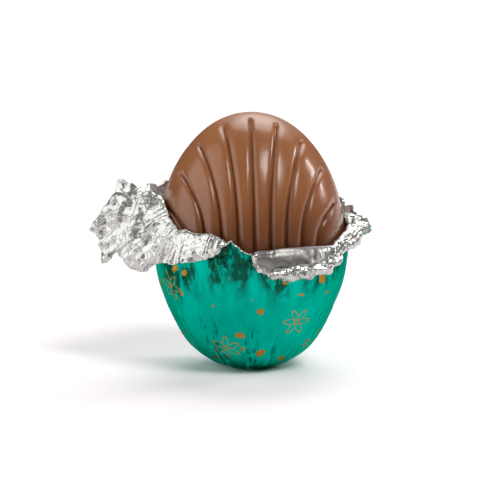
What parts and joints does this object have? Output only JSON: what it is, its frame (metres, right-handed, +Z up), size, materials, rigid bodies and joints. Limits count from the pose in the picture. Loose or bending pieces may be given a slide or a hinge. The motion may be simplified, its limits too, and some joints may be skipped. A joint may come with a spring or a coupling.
{
  "type": "chocolate egg",
  "caption": "Milk-chocolate egg with a fan of scalloped lobes, standing in a crumpled foil cup that is peeled open at the top.",
  "frame": {"origin": "centre of the small flat spot under the wrapped egg, on the surface that it stands on", "axes": "+Z up through the egg, -Y towards the front with the folded-down foil, +X to the right, away from the pulled-out flap"},
  "size_m": [0.0422, 0.0276, 0.0379],
  "materials": {
    "milk_chocolate": "moulded milk chocolate, satin",
    "printed_foil": "thin aluminium foil, teal lacquer with gold specks outside, bright silver inside"
  },
  "bodies": {
    "root": {"chocolate_egg": "milk_chocolate", "foil_wrapper": "printed_foil"}
  },
  "joints": []
}
